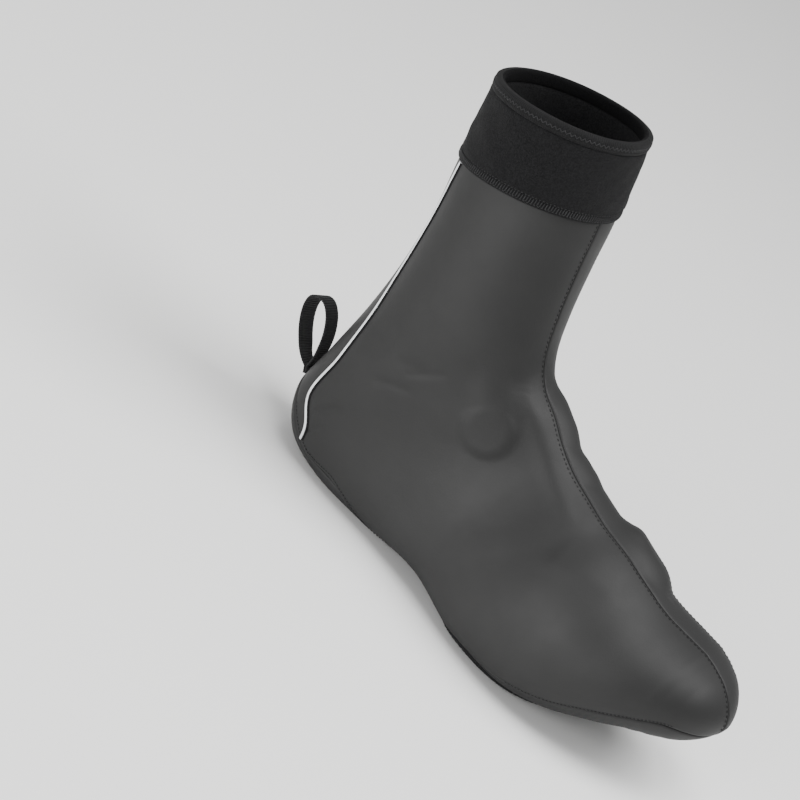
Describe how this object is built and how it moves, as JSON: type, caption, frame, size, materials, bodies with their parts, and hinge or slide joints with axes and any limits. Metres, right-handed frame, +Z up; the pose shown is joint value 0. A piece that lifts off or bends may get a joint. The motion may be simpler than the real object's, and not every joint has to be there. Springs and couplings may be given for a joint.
{
  "type": "thermal overshoe",
  "caption": "Ankle-high stretch overshoe for a cycling shoe, right foot, hollow, with a fleece cuff, pull loop, reflective piping and a cleat opening in its sole.",
  "frame": {"origin": "on the floor under the middle of the heel, on the flat face of the heel strip", "axes": "+X along the foot to the toe, +Y to the inner side of the foot, +Z up"},
  "size_m": [0.3076, 0.102, 0.2451],
  "materials": {
    "coated_fabric": "stretch knit with a matte rubbery coating outside and fleece inside",
    "sole_fabric": "heavier coated stretch fabric, matte",
    "elastic_binding": "ribbed elastic binding with coverstitch",
    "cuff_fleece": "brushed fleece, soft nap",
    "reflective_tape": "silver retroreflective piping, satin",
    "woven_tape": "ribbed grosgrain tape"
  },
  "bodies": {
    "root": {"upper": "coated_fabric", "toe_sole_panel": "sole_fabric", "heel_sole_strip": "sole_fabric", "cleat_opening_binding": "elastic_binding", "cuff": "cuff_fleece", "cuff_binding": "elastic_binding", "piping_lateral": "reflective_tape", "piping_medial": "reflective_tape", "pull_loop": "woven_tape"}
  },
  "joints": []
}
